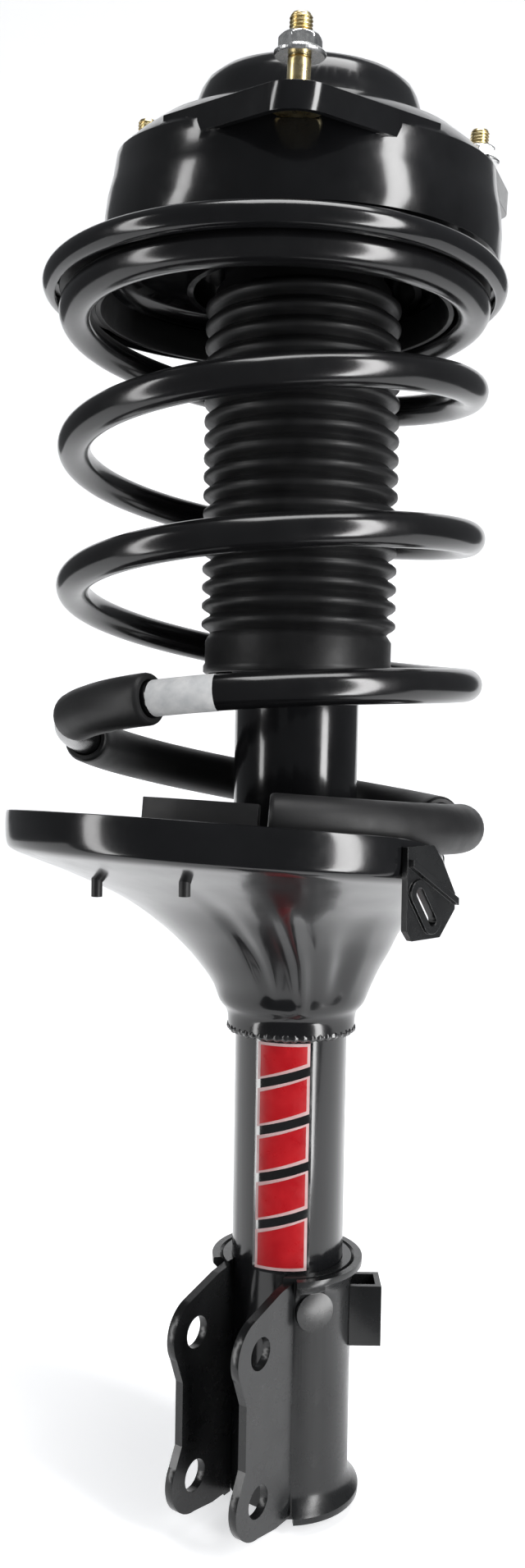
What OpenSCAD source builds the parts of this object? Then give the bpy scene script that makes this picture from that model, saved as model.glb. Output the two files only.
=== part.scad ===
// Front suspension strut assembly: damper, coil spring, spring seats, steering bearing,
// tower mount and knuckle bracket. Millimetres. +Z runs up the damper axis, +X runs along
// the knuckle bolts, and the knuckle flanges point to -Y. The origin is the centre of the
// stud circle on the face that meets the body tower.

/* [Tower mount] */
// Radius of the circle through the three studs
stud_circle_r = 81; // [80:0.5:86]
// Radius of the smooth shank of a stud
stud_r = 4; // [3:0.5:5]
// Height of a stud above the tower face
stud_h = 24.5; // [20:0.5:30]
// Radius of the rounded end of an ear
ear_r = 13.5; // [11:0.5:16]
// Height of the lip that hangs round an ear
ear_lip = 9; // [6:0.5:9]
// Lean of the tower face against the damper axis, in degrees
mount_tilt = 8; // [6:0.5:8]
// Number of balls in the steering bearing
ball_count = 20; // [12:1:22]
// Radius of the circle through the balls
ball_circle_r = 36; // [35.5:0.1:36.5]

/* [Spring] */
// Wire diameter
wire_d = 12.5; // [10:0.5:13]
// Radius of the coil, measured to the middle of the wire
coil_r = 76; // [75:0.5:77]
// Distance of the spring axis from the damper axis, towards the wheel
spring_offset = 20; // [18:0.5:21]
// Number of turns from tip to tip
coil_turns = 4.45; // [4.2:0.05:4.6]
// Direction of the lower tip of the wire, in degrees from +X
tip_angle = -54; // [-70:1:-40]
// Outside radius of the rubber sleeves on the lowest turn
sleeve_r = 9.2; // [8:0.1:9.2]

/* [Spring seats] */
// Outside radius of the upper seat, over its rolled bead
upper_seat_r = 88.5; // [87.5:0.5:92]
// Outside radius of the rim of the lower seat
lower_seat_r = 87; // [86:0.5:89]
// Distance of the lower seat's rim centre from the damper axis, towards the wheel
lower_seat_offset = 38; // [37:0.5:39]
// Tilt of the lower seat, with the wheel side up
lower_seat_tilt = 5.9; // [5:0.1:6.5]
// Height of the middle of the lower seat's rim
lower_seat_z = -269; // [-271:0.5:-268]

/* [Damper] */
// Outer radius of the tube in the knuckle bracket
tube_r = 22.5; // [22:0.1:22.5]
// Outer radius of the tube above the lower seat
tube_top_r = 24.7; // [24:0.1:24.7]
// Height of the top of the tube
tube_top_z = -196; // [-198:0.5:-195]
// Height of the bottom of the tube
tube_end_z = -533; // [-536:0.5:-531]
// Radius of the piston rod
rod_r = 10; // [9:0.5:10]
// Running gap round the rod and the piston
running_gap = 0.3; // [0.3:0.05:0.5]

/* [Dust boot] */
// Outside radius over the ribs
boot_r = 38.8; // [37:0.1:39.5]
// Number of ribs
boot_ribs = 18; // [12:1:20]

/* [Knuckle bracket] */
// Clear gap between the two flanges
clevis_gap = 27; // [24:0.5:30]
// Sheet thickness
bracket_t = 3.5; // [3:0.1:3.7]
// Radius of the knuckle bolt holes
bolt_r = 6.2; // [5:0.1:7]
// Distance of the bolt holes from the damper axis
bolt_reach = 41.5; // [40:0.5:45]
// Height of the upper bolt hole
upper_bolt_z = -460; // [-462:0.5:-458]
// Distance between the two bolt holes
bolt_spacing = 57; // [52:0.5:58]
// Radius of the rounded ends of the flanges
lobe_r = 14.2; // [12:0.1:15]

/* [Hidden] */
$fn = 72;
tau = 360;

wire_r = wire_d / 2;
stud_angles = [-58, 62, 182];
// Direction in which the leaning tower mount is lowest
low_dir = -42;
// Height of the open lower edge of the bell
bell_low_z = -43.5;
lower_bolt_z = upper_bolt_z - bolt_spacing;
wrap_r = tube_r + 0.1 + bracket_t;
bracket_top_z = upper_bolt_z + 22;
bracket_end_z = lower_bolt_z - 17;
coil_top_z = -66;
seat_face_z = coil_top_z + wire_r + 4.2;
ball_r = 3.25;
ball_z = -31.5;
ball_gap = 0.3;
shell_t = 2.8;
nut_z = 11;
plate_top_z = -21.5;

// A ring with a square section, from z0 up to z1
module ring(r_in, r_out, z0, z1) {
    translate([0, 0, z0]) difference() {
        cylinder(r = r_out, h = z1 - z0);
        translate([0, 0, -1]) cylinder(r = r_in, h = z1 - z0 + 2);
    }
}

// ---------- tower mount ----------

// Outside line of the bell, from the cap hole down past its open lower edge
shell_outer = [[24, 31.6], [30, 30.2], [37, 27.8], [40.6, 25], [42.6, 21.8], [43.8, 18.5],
    [45.6, 13.4], [59.5, 7.5], [68, 1.5], [74.4, -4.2], [75.6, -12], [77.6, -20], [78.6, -28],
    [78.6, -58]];
shell_inner = [for (p = shell_outer)
    p[1] > 19 && p[0] < 42 ? [max(24, p[0] - 0.9), p[1] - shell_t] :
    p[1] > 3 ? [p[0] - 2.2, p[1] - 2.2] : [p[0] - shell_t, p[1] + (p[1] > -30 ? -0.6 : 0)]];

// Frame of the tower face, which leans against the damper axis
module leaning() {
    rotate([0, 0, low_dir]) rotate([0, mount_tilt, 0]) rotate([0, 0, -low_dir]) children();
}

module at_studs() {
    leaning() for (a = stud_angles) rotate([0, 0, a]) translate([stud_circle_r, 0, 0]) children();
}

// Plan of one ear: a round end joined to the bell by two tangent lines
module ear_plan(inset) {
    base_r = 72 - inset;
    end_r = ear_r - inset;
    lean = acos((base_r - end_r) / stud_circle_r);
    translate([stud_circle_r, 0]) circle(r = end_r);
    polygon([[base_r * cos(lean), base_r * sin(lean)],
        [stud_circle_r + end_r * cos(lean), end_r * sin(lean)],
        [stud_circle_r + end_r * cos(lean), -end_r * sin(lean)],
        [base_r * cos(lean), -base_r * sin(lean)]]);
}

// Flat ear with a lip round its free edge
module ear() {
    sheet = 3;
    difference() {
        translate([0, 0, -ear_lip]) linear_extrude(ear_lip) ear_plan(0);
        translate([0, 0, -ear_lip - 1]) linear_extrude(ear_lip + 1 - sheet) ear_plan(2.6);
        translate([0, 0, -ear_lip - 2]) cylinder(r = 73.4, h = ear_lip - 1);
        translate([0, 0, -sheet - 0.5]) cylinder(r = 70, h = 6);
        translate([stud_circle_r, 0, -5]) cylinder(r = stud_r + 0.55, h = 7);
    }
}

module mount_shell() {
    color([0.05, 0.05, 0.055]) difference() {
        leaning() union() {
            rotate_extrude($fn = 96) polygon(concat(shell_outer,
                [for (i = [len(shell_inner) - 1:-1:0]) shell_inner[i]]));
            for (a = stud_angles) rotate([0, 0, a]) ear();
        }
        // room for the heads of the studs, and the level lower edge
        at_studs() translate([0, 0, -6.1]) cylinder(r = 9.9, h = 3.1);
        translate([0, 0, bell_low_z - 40]) cylinder(r = 100, h = 40);
    }
}

module dome_cap() {
    color([0.07, 0.07, 0.075]) leaning() rotate_extrude()
        polygon([[0, 34.8], [10, 34.4], [19, 33.2], [23.6, 31.8], [23.6, 29], [21.6, 29],
            [21.6, 30.6], [10, 32], [0, 32.4]]);
}

// Rubber between the bell and the sleeve; its foot is bonded to the bearing plate
module mount_rubber() {
    color([0.09, 0.09, 0.09]) difference() {
        leaning() rotate_extrude() polygon([[0, 11], [12, 11], [24, 12.5], [30, 19.5],
            [36, 20.5], [39.4, 18.6], [41, 16], [43.2, 9.8], [50, 7.2], [52, 2], [48, -6],
            [44, -20], [44, -36], [0, -36]]);
        translate([0, 0, -20]) cylinder(r = 12.6, h = 50);
        translate([0, 0, -30]) cylinder(r = 24.5, h = 18);
        translate([0, 0, plate_top_z + 0.1 - 50]) cylinder(r = 90, h = 50);
    }
}

module mount_sleeve() {
    color([0.55, 0.55, 0.57]) ring(6.3, 12.5, -14.4, 16);
}

module mount_washer_upper() {
    color([0.6, 0.6, 0.6]) ring(6.3, 21, 16, 18.4);
}

module mount_washer_lower() {
    color([0.6, 0.6, 0.6]) ring(6.3, 22, -17, -14.6);
}

module rod_nut() {
    color([0.72, 0.66, 0.48]) difference() {
        translate([0, 0, 18.5]) cylinder(r = 19 / 2 / cos(30), h = 9.5, $fn = 6);
        translate([0, 0, 17]) cylinder(r = 6.05, h = 13);
    }
}

module mount_studs() {
    thread_r = stud_r - 0.4;
    color([0.78, 0.7, 0.45]) at_studs() {
        translate([0, 0, -6]) cylinder(r = 9.8, h = 2.9);
        translate([0, 0, -3.2]) cylinder(r = stud_r + 0.5, h = 3.2);
        translate([0, 0, -0.5]) cylinder(r = stud_r, h = nut_z + 0.1);
        translate([0, 0, nut_z - 0.7]) cylinder(r = thread_r, h = stud_h - nut_z - 0.3);
        translate([0, 0, stud_h - 1.1]) cylinder(r1 = thread_r, r2 = thread_r - 1, h = 1.1);
    }
}

module stud_nuts() {
    color([0.75, 0.75, 0.74]) at_studs() difference() {
        union() {
            translate([0, 0, nut_z]) cylinder(r = 9, h = 1.4);
            translate([0, 0, nut_z + 1.4]) cylinder(r1 = 9, r2 = 7.4, h = 1.2);
            translate([0, 0, nut_z + 2]) cylinder(r = 13 / 2 / cos(30), h = 5, $fn = 6);
        }
        translate([0, 0, nut_z - 1]) cylinder(r = stud_r - 0.35, h = 11);
    }
}

// ---------- steering bearing ----------

// Cup under the mount that takes the upper race; its wall hangs round the bearing
module bearing_plate() {
    color([0.05, 0.05, 0.055]) rotate_extrude($fn = 96)
        polygon([[26, -24], [26, plate_top_z], [47.6, plate_top_z], [49, -23], [49, -43.4],
            [47.4, -43.4], [47.4, -24]]);
}

// A race with its ball groove; side is 1 for the upper race and -1 for the lower
module race(side) {
    translate([0, 0, ball_z]) rotate_extrude() difference() {
        polygon([[29.6, side * 2.7], [42.4, side * 2.7], [42.4, side * 7.4], [29.6, side * 7.4]]);
        translate([ball_circle_r, 0]) circle(r = ball_r + ball_gap, $fn = 48);
    }
}

module bearing_race_upper() {
    color([0.7, 0.7, 0.72]) race(1);
}

module bearing_race_lower() {
    color([0.7, 0.7, 0.72]) race(-1);
}

module bearing_balls() {
    color([0.85, 0.85, 0.87]) for (i = [0:ball_count - 1])
        rotate([0, 0, i * tau / ball_count])
            translate([ball_circle_r, 0, ball_z]) sphere(r = ball_r, $fn = 24);
}

module bearing_cage() {
    color([0.85, 0.8, 0.65]) difference() {
        ring(31, 41, ball_z - 0.9, ball_z + 0.9);
        for (i = [0:ball_count - 1]) rotate([0, 0, i * tau / ball_count])
            translate([ball_circle_r, 0, ball_z - 2]) cylinder(r = ball_r + 0.2, h = 4);
    }
}

module bearing_seal() {
    color([0.08, 0.08, 0.08]) rotate_extrude()
        polygon([[43, -38.8], [46.4, -38.8], [46.4, -32], [47.2, -25.2], [46.2, -25.2],
            [44.4, -31], [43, -33]]);
}

// ---------- upper spring seat ----------

module upper_seat() {
    t = 2.6;
    plate_z = -45;
    race_seat_z = -39;
    bead_r = 4.6;
    bead_x = upper_seat_r - bead_r;
    color([0.04, 0.04, 0.045]) difference() {
        translate([0, -spring_offset, 0]) union() {
            rotate_extrude($fn = 96) polygon([[0, plate_z], [58, plate_z], [63.4, -46.4],
                [66.8, -49], [69.4, seat_face_z + t], [77, seat_face_z + t],
                [bead_x + 1.5, -54.2], [bead_x + 2.6, -57.4], [bead_x - 1.5, seat_face_z],
                [66.4, seat_face_z], [64.4, -50.6], [62, -48.8], [57, plate_z - t],
                [0, plate_z - t]]);
            rotate_extrude($fn = 96) translate([bead_x, -58.4]) difference() {
                circle(r = bead_r, $fn = 36);
                circle(r = bead_r - 2.2, $fn = 36);
                translate([-bead_r * 2, -bead_r]) square([bead_r * 2, bead_r * 2 - 1.7]);
            }
        }
        translate([0, 0, -60]) cylinder(r = 45, h = 30);
    }
    // raised collar that carries the lower race
    color([0.04, 0.04, 0.045]) rotate_extrude($fn = 96)
        polygon([[28, race_seat_z], [45.6, race_seat_z], [46.4, race_seat_z - 1], [46.4, -53],
            [43.9, -53], [43.9, race_seat_z - t], [28, race_seat_z - t]]);
}

module upper_isolator() {
    color([0.1, 0.1, 0.1]) translate([0, -spring_offset, 0]) rotate_extrude($fn = 96)
        polygon([[66.6, seat_face_z - 0.1], [66.6, coil_top_z + wire_r + 0.2],
            [coil_r - 7.4, coil_top_z - 1], [coil_r - 9.4, coil_top_z - 1],
            [64, seat_face_z - 0.1], [66.6, seat_face_z - 0.1]]);
    color([0.1, 0.1, 0.1]) translate([0, -spring_offset, 0])
        ring(65, 82.2, coil_top_z + wire_r + 0.15, seat_face_z - 0.1);
}

// ---------- dust boot and bump stop ----------

boot_top_z = -56;
boot_low_z = -187;
rib_pitch = (boot_top_z - boot_low_z) / boot_ribs;
boot_depth = 3.6;
function boot_wave(i) = [for (k = [0:1]) [boot_r - (k == 0 ? boot_depth : 0),
    boot_top_z - (i + k * 0.5) * rib_pitch]];
boot_line = concat([[29, -41.8], [31.4, -41.8], [31.4, -48], [boot_r - boot_depth, boot_top_z + 2]],
    [for (i = [0:boot_ribs - 1]) each boot_wave(i)],
    [[boot_r - boot_depth, boot_low_z], [boot_r - 1.6, boot_low_z - 3],
    [boot_r - 1.6, boot_low_z - 16]]);

module dust_boot() {
    wall = 1.5;
    count = len(boot_line);
    color([0.09, 0.09, 0.095]) rotate_extrude()
        polygon(concat(boot_line, [for (i = [count - 1:-1:1])
            boot_line[i] - [wall, 0]], [[29, -45]]));
}

module bump_cup() {
    color([0.12, 0.12, 0.13]) rotate_extrude()
        polygon([[10.3, -17.2], [20, -17.2], [25, -22], [25, -52], [23, -52], [23, -46],
            [10.3, -46]]);
}

module bump_stop() {
    color([0.82, 0.78, 0.62]) rotate_extrude()
        polygon([[10.4, -46.2], [22.6, -46.2], [22.6, -58], [18, -61], [21.4, -66], [21.4, -73],
            [16.6, -77], [19, -82], [19, -88], [15, -99], [10.4, -99]]);
}

// ---------- rod and piston ----------

piston_z = -256;

module piston_rod() {
    color([0.85, 0.86, 0.88]) {
        translate([0, 0, piston_z + 12]) cylinder(r = rod_r, h = -17 - piston_z - 12);
        translate([0, 0, -17.5]) cylinder(r = 6, h = 46.5);
        translate([0, 0, 29]) cylinder(r1 = 6, r2 = 5, h = 1);
        translate([0, 0, piston_z - 14]) cylinder(r = 5, h = 27);
    }
}

module piston() {
    color([0.5, 0.5, 0.52]) difference() {
        translate([0, 0, piston_z - 6]) cylinder(r = 14.1, h = 18);
        translate([0, 0, piston_z - 7]) cylinder(r = 5.05, h = 20);
        for (a = [0:60:300]) rotate([0, 0, a]) translate([9.5, 0, piston_z - 7])
            cylinder(r = 1.4, h = 20);
        ring(13.2, 15, piston_z - 1, piston_z + 6);
    }
}

module piston_ring() {
    color([0.2, 0.2, 0.2]) ring(13.3, 15.2 - running_gap, piston_z - 0.8, piston_z + 5.8);
}

module piston_nut() {
    color([0.6, 0.6, 0.62]) difference() {
        translate([0, 0, piston_z - 13.5]) cylinder(r = 8.5, h = 7.3, $fn = 6);
        translate([0, 0, piston_z - 15]) cylinder(r = 5.05, h = 10);
    }
}

module rebound_stop() {
    color([0.3, 0.28, 0.25]) ring(rod_r + 0.05, 13.6, piston_z + 12.2, piston_z + 24);
}

// ---------- damper body ----------

module strut_tube() {
    wall = 1.8;
    color([0.05, 0.05, 0.055]) rotate_extrude($fn = 96)
        polygon([[tube_top_r - 3, tube_top_z], [tube_top_r - 1, tube_top_z],
            [tube_top_r, tube_top_z - 1.2], [tube_top_r, -262], [tube_r, -272],
            [tube_r, tube_end_z], [tube_r - wall, tube_end_z], [tube_r - wall, -272.6],
            [tube_top_r - wall, -262.6], [tube_top_r - wall, tube_top_z - 2],
            [tube_top_r - 3, tube_top_z - 2]]);
}

module tube_base() {
    color([0.06, 0.06, 0.06]) rotate_extrude()
        polygon([[0, -529], [20.6, -529], [20.6, -534], [17, -537], [0, -538.5]]);
}

module tube_cap() {
    color([0.12, 0.12, 0.13]) rotate_extrude()
        polygon([[13, -192.6], [23.6, -192.6], [26.2, -195], [26.2, -205], [24.9, -205],
            [24.9, -195.6], [13, -195.6]]);
}

module rod_guide() {
    guide_r = rod_r + running_gap;
    color([0.6, 0.6, 0.6]) rotate_extrude()
        polygon([[guide_r, -206], [22.8, -206], [22.8, -216], [16.4, -219], [15.1, -219],
            [15.1, -228], [guide_r, -228]]);
}

module rod_seal() {
    color([0.1, 0.1, 0.1]) rotate_extrude()
        polygon([[rod_r + running_gap, -198.4], [21.6, -198.4], [22.7, -200], [22.7, -205.8],
            [13, -205.8], [rod_r + running_gap, -204]]);
}

module inner_cylinder() {
    color([0.6, 0.6, 0.62]) ring(15.2, 16.6, -517, -219.2);
}

module base_valve() {
    color([0.55, 0.5, 0.35]) {
        ring(3, 15.1, -516, -509);
        rotate_extrude() polygon([[3, -528.8], [20, -528.8], [20, -525], [17, -517.2],
            [3, -517.2]]);
        translate([0, 0, -524]) cylinder(r = 3.2, h = 17);
        ring(3.1, 14, -518, -515.5);
    }
}

// ---------- spring ----------

foot_turn = 0.17;
head_turn = 3.78;
ease = 0.17;
seat_slope = tan(lower_seat_tilt);

function eased(x) = x < -ease ? 0 : x > ease ? x : pow(x + ease, 2) / (4 * ease);
function climb(t) = (eased(t - foot_turn) - eased(t - head_turn)) / (head_turn - foot_turn);
function rim_plane(y) = lower_seat_z - (y + lower_seat_offset) * seat_slope;
function coil_y(t) = coil_r * sin(tip_angle + tau * t) - spring_offset;
function coil_low(t) = rim_plane(coil_y(t)) + sleeve_r + 0.1;
function coil_point(t) = [coil_r * cos(tip_angle + tau * t), coil_y(t),
    coil_low(t) + climb(t) * (coil_top_z - coil_low(t))];
function unit(v) = v / norm(v);

// Ring of points round the wire at turn t
function wire_ring(t, r, sides) =
    let (centre = coil_point(t),
        along = unit(coil_point(t + 0.002) - coil_point(t - 0.002)),
        out = [cos(tip_angle + tau * t), sin(tip_angle + tau * t), 0],
        side = unit(cross(along, out)),
        flat_out = cross(side, along))
    [for (k = [0:sides - 1]) centre + r * (cos(k * tau / sides) * flat_out
        + sin(k * tau / sides) * side)];

// Solid rod that follows the coil from turn t0 to turn t1
module coil_rod(t0, t1, r, steps, sides) {
    points = [for (i = [0:steps]) each wire_ring(t0 + (t1 - t0) * i / steps, r, sides)];
    skin = [for (i = [0:steps - 1], k = [0:sides - 1]) [i * sides + k,
        i * sides + (k + 1) % sides, (i + 1) * sides + (k + 1) % sides, (i + 1) * sides + k]];
    first = [for (k = [sides - 1:-1:0]) k];
    last = [for (k = [0:sides - 1]) steps * sides + k];
    polyhedron(points, concat([first, last], skin), convexity = 10);
}

// Tube that follows the coil: an outer skin, an inner skin and two ring ends
module coil_tube(t0, t1, r_in, r_out, steps, sides) {
    points = concat([for (i = [0:steps]) each wire_ring(t0 + (t1 - t0) * i / steps, r_out, sides)],
        [for (i = [0:steps]) each wire_ring(t0 + (t1 - t0) * i / steps, r_in, sides)]);
    inner = (steps + 1) * sides;
    outside = [for (i = [0:steps - 1], k = [0:sides - 1]) [i * sides + k,
        i * sides + (k + 1) % sides, (i + 1) * sides + (k + 1) % sides, (i + 1) * sides + k]];
    inside = [for (f = outside) [for (j = [3:-1:0]) f[j] + inner]];
    ends = concat([for (k = [0:sides - 1]) [(k + 1) % sides, k, k + inner,
            (k + 1) % sides + inner]],
        [for (k = [0:sides - 1]) [steps * sides + k, steps * sides + (k + 1) % sides,
            inner + steps * sides + (k + 1) % sides, inner + steps * sides + k]]);
    polyhedron(points, concat(outside, inside, ends), convexity = 10);
}

coil_steps = 132;

module coil_spring() {
    color([0.04, 0.04, 0.045]) coil_rod(0, coil_turns, wire_r, coil_steps, 12);
}

module spring_sleeves() {
    // first and last step of each sleeve
    spans = [[0, 6], [9, 21], [24, 27]];
    step = coil_turns / coil_steps;
    color([0.12, 0.12, 0.12]) for (s = spans)
        coil_tube(s[0] * step, s[1] * step, wire_r + 0.12, sleeve_r, s[1] - s[0], 12);
}

// ---------- lower spring seat ----------

// Stations down the outside of the seat: radius, offset to -Y, tilt, height of the centre
seat_stations = [
    [lower_seat_r, lower_seat_offset, lower_seat_tilt, lower_seat_z + 6.5],
    [lower_seat_r + 0.4, lower_seat_offset, lower_seat_tilt, lower_seat_z + 3],
    [lower_seat_r, lower_seat_offset, lower_seat_tilt, lower_seat_z - 5],
    [lower_seat_r - 2.4, lower_seat_offset, lower_seat_tilt, lower_seat_z - 8],
    [79, 35, lower_seat_tilt, lower_seat_z - 11],
    [68, 26, 5.5, lower_seat_z - 17.4],
    [56.5, 16.5, 4, lower_seat_z - 25],
    [47, 9, 2, lower_seat_z - 34.5],
    [41, 4, 1, lower_seat_z - 43],
    [36, 1.5, 0, lower_seat_z - 50.5],
    [32, 0, 0, lower_seat_z - 58],
    [29.4, 0, 0, lower_seat_z - 64.6],
    [26.2, 0, 0, lower_seat_z - 69],
    [25.6, 0, 0, lower_seat_z - 75]];

// Stamped ribs and recesses: direction, half width in degrees, height, first and last station
seat_ribs = [[-49, 7, 2.6, 5, 11], [-72, 7, -1.8, 5, 10], [-22, 13, -3.2, 6, 10]];

function bump(a, rib) = let (d = abs(a - rib[0])) d > rib[1] ? 0 : (1 + cos(180 * d / rib[1])) / 2;
function press(a, i) = let (all = [for (rib = seat_ribs)
    i >= rib[3] && i <= rib[4] ? rib[2] * bump(a, rib) * sin(180 * (i - rib[3] + 0.6)
        / (rib[4] - rib[3] + 1.2)) : 0]) all[0] + all[1] + all[2];

// The rim is drawn in and lowered at both sides of the back, where the wire passes over it
side_dir = 27;
side_cut = 11;
rim_drop = 9;
cut_share = [1, 1, 1, 1, 0.85, 0.45, 0.1, 0, 0, 0, 0, 0, 0, 0];
drop_share = [1, 0.6, 0, 0, 0, 0, 0, 0, 0, 0, 0, 0, 0, 0];
function side_bump(a, width) = bump(a, [side_dir, width]) + bump(a, [180 - side_dir, width]);
function seat_point(i, a, inset, lift) =
    let (s = seat_stations[i], wave = a > 270 ? a - 360 : a,
        rib_wave = a > 180 ? a - 360 : a,
        r = s[0] - inset + press(rib_wave, i) - side_cut * cut_share[i] * side_bump(wave, 36),
        x = r * cos(a), y = r * sin(a))
    [x, y * cos(s[2]) - s[1],
        s[3] + lift - y * sin(s[2]) - rim_drop * drop_share[i] * side_bump(wave, 45)];

module lower_seat_sheet() {
    sides = 72;
    rows = len(seat_stations);
    // the sheet is thicker sideways where it is steep and upwards where it is shallow
    inset = [2.6, 2.8, 2.8, 1.6, 1.2, 1.7, 2, 2.4, 2.6, 2.7, 2.8, 2.8, 2.85, 2.85];
    lift = [0, 0, 2.6, 2.8, 2.8, 2.4, 2, 1.4, 1.2, 0.8, 0.6, 0.4, 0.2, 0];
    outer = [for (i = [0:rows - 1], k = [0:sides - 1]) seat_point(i, k * tau / sides, 0, 0)];
    inner = [for (i = [0:rows - 1], k = [0:sides - 1])
        seat_point(i, k * tau / sides, inset[i], lift[i])];
    n = rows * sides;
    skin = [for (i = [0:rows - 2], k = [0:sides - 1]) [i * sides + k, i * sides + (k + 1) % sides,
        (i + 1) * sides + (k + 1) % sides, (i + 1) * sides + k]];
    lining = [for (f = skin) [for (j = [3:-1:0]) f[j] + n]];
    rims = concat([for (k = [0:sides - 1]) [(k + 1) % sides, k, k + n, (k + 1) % sides + n]],
        [for (k = [0:sides - 1]) [(rows - 1) * sides + k, (rows - 1) * sides + (k + 1) % sides,
            n + (rows - 1) * sides + (k + 1) % sides, n + (rows - 1) * sides + k]]);
    polyhedron(concat(outer, inner), concat(skin, lining, rims), convexity = 10);
}

// The two rubber pegs that hold the lower pad: direction and distance from the spring axis,
// height of the lower end
pegs = [[-111, 73, -286.5], [-74, 81, -281.5]];

module at_peg(peg) {
    translate([peg[1] * cos(peg[0]), peg[1] * sin(peg[0]) - spring_offset, 0]) children();
}

module lower_seat() {
    color([0.05, 0.05, 0.055]) difference() {
        lower_seat_sheet();
        for (peg = pegs) at_peg(peg) translate([0, 0, -300]) cylinder(r = 2.3, h = 40, $fn = 16);
    }
}

module in_seat_frame() {
    translate([0, -lower_seat_offset, lower_seat_z]) rotate([-lower_seat_tilt, 0, 0]) children();
}

module lower_isolator() {
    shift = lower_seat_offset - spring_offset;
    color([0.11, 0.11, 0.11]) {
        in_seat_frame() intersection() {
            translate([0, shift, 0]) union() {
                rotate_extrude($fn = 96) polygon([[64, -7.6], [70, -9], [84, -6.6], [84, 3],
                    [82.6, 3], [81.4, -0.4], [70.6, -0.4], [68, 2], [66, 2], [64, -3]]);
                rotate([0, 0, tip_angle - 32]) rotate_extrude(angle = 29, $fn = 96)
                    translate([66.5, -3]) square([16, 17]);
            }
            translate([0, 0, -12]) cylinder(r = 81.9, h = 40, $fn = 96);
            rotate([0, 0, side_dir]) translate([-200, -200, -12])
                cube([lower_seat_r - side_cut + 193.2, 400, 40]);
            rotate([0, 0, 180 - side_dir]) translate([-200, -200, -12])
                cube([lower_seat_r - side_cut + 193.2, 400, 40]);
            translate([-100, -100, -12]) cube([200, 135, 40]);
        }
        for (peg = pegs) at_peg(peg) translate([0, 0, peg[2]])
            cylinder(r = 2, h = -268 - peg[2]);
    }
}

// ---------- brackets ----------

// Rounded slot of radius r between two points in the plane of the hose plate
module slot_plan(r) {
    from = [-2.5, lower_seat_z - 9.5];
    to = [4.5, lower_seat_z - 19.3];
    lean = atan2(to[1] - from[1], to[0] - from[0]);
    polygon(concat([for (a = [lean + 90:15:lean + 270]) from + r * [cos(a), sin(a)]],
        [for (a = [lean - 90:15:lean + 90]) to + r * [cos(a), sin(a)]]));
}

// Plate that hangs from the rim of the lower seat, with a raised slot for the brake hose clip
module hose_bracket() {
    z = lower_seat_z;
    color([0.05, 0.05, 0.05]) translate([0, -lower_seat_offset, 0]) rotate([0, 0, -10])
        translate([lower_seat_r + 0.2, 0, 0]) rotate([90, 0, 90]) difference() {
            union() {
                linear_extrude(2.4) polygon([[-8, z + 6], [6, z + 6], [10.5, z + 1],
                    [18, z - 11], [18, z - 16.5], [10, z - 25.5], [-5, z - 25.5],
                    [-8, z - 22]]);
                linear_extrude(3.6) slot_plan(4.6);
                linear_extrude(4.6) polygon([[-7.4, z + 2], [17.4, z - 12.4],
                    [17.4, z - 15], [-7.4, z - 0.6]]);
            }
            translate([0, 0, -1]) linear_extrude(8) slot_plan(1.8);
        }
}

module line_bracket() {
    color([0.05, 0.05, 0.05]) rotate([0, 0, 36]) translate([0, 0, upper_bolt_z - 13])
        difference() {
            translate([wrap_r - 1, -7.5, 0]) cube([13, 15, 24.4]);
            translate([wrap_r - 3, -5.1, -1]) cube([12.6, 10.2, 29]);
            translate([wrap_r + 5, 0, 13.5]) rotate([0, 90, 0]) cylinder(r = 3.2, h = 12);
            translate([0, 0, -2]) cylinder(r = wrap_r + 0.02, h = 32, $fn = 96);
        }
}

// Side view of a flange: two round lobes round the bolts with a waist between
module flange_side() {
    waist = 50;
    translate([-bolt_reach, upper_bolt_z]) circle(r = lobe_r);
    translate([-bolt_reach, lower_bolt_z]) circle(r = lobe_r);
    polygon([[-16, bracket_top_z - 1], [-28, bracket_top_z - 3],
        [-bolt_reach - 4, upper_bolt_z + lobe_r - 0.6], [-bolt_reach - 12.3, upper_bolt_z - 7],
        [-waist, upper_bolt_z - 17], [-waist, lower_bolt_z + 15],
        [-bolt_reach - 12.3, lower_bolt_z + 7], [-bolt_reach, lower_bolt_z - lobe_r],
        [-30, bracket_end_z + 1], [-16, bracket_end_z + 1]]);
}

module knuckle_bracket() {
    height = bracket_top_z - bracket_end_z;
    color([0.05, 0.05, 0.055]) difference() {
        union() {
            translate([0, 0, bracket_end_z]) cylinder(r = wrap_r, h = height, $fn = 96);
            for (side = [-1, 1]) intersection() {
                translate([side * (clevis_gap + bracket_t) / 2 - bracket_t / 2, -70,
                    bracket_end_z]) cube([bracket_t, 70, height]);
                translate([-30, 0, 0]) rotate([90, 0, 90]) linear_extrude(60) flange_side();
            }
            flared_rim(bracket_end_z, 1);
            flared_rim(bracket_top_z, -1);
            for (a = [-31, 211]) rotate([0, 0, a]) translate([wrap_r - 1.6, 0, upper_bolt_z + 8])
                rotate([0, 90, 0]) cylinder(r = 7.8, h = 2.6);
        }
        translate([0, 0, bracket_end_z - 1]) cylinder(r = tube_r + 0.1, h = height + 2, $fn = 96);
        translate([-clevis_gap / 2, -80, bracket_end_z - 1]) cube([clevis_gap, 78, height + 2]);
        for (z = [upper_bolt_z, lower_bolt_z]) translate([-30, -bolt_reach, z])
            rotate([0, 90, 0]) cylinder(r = bolt_r, h = 60);
    }
}

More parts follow.
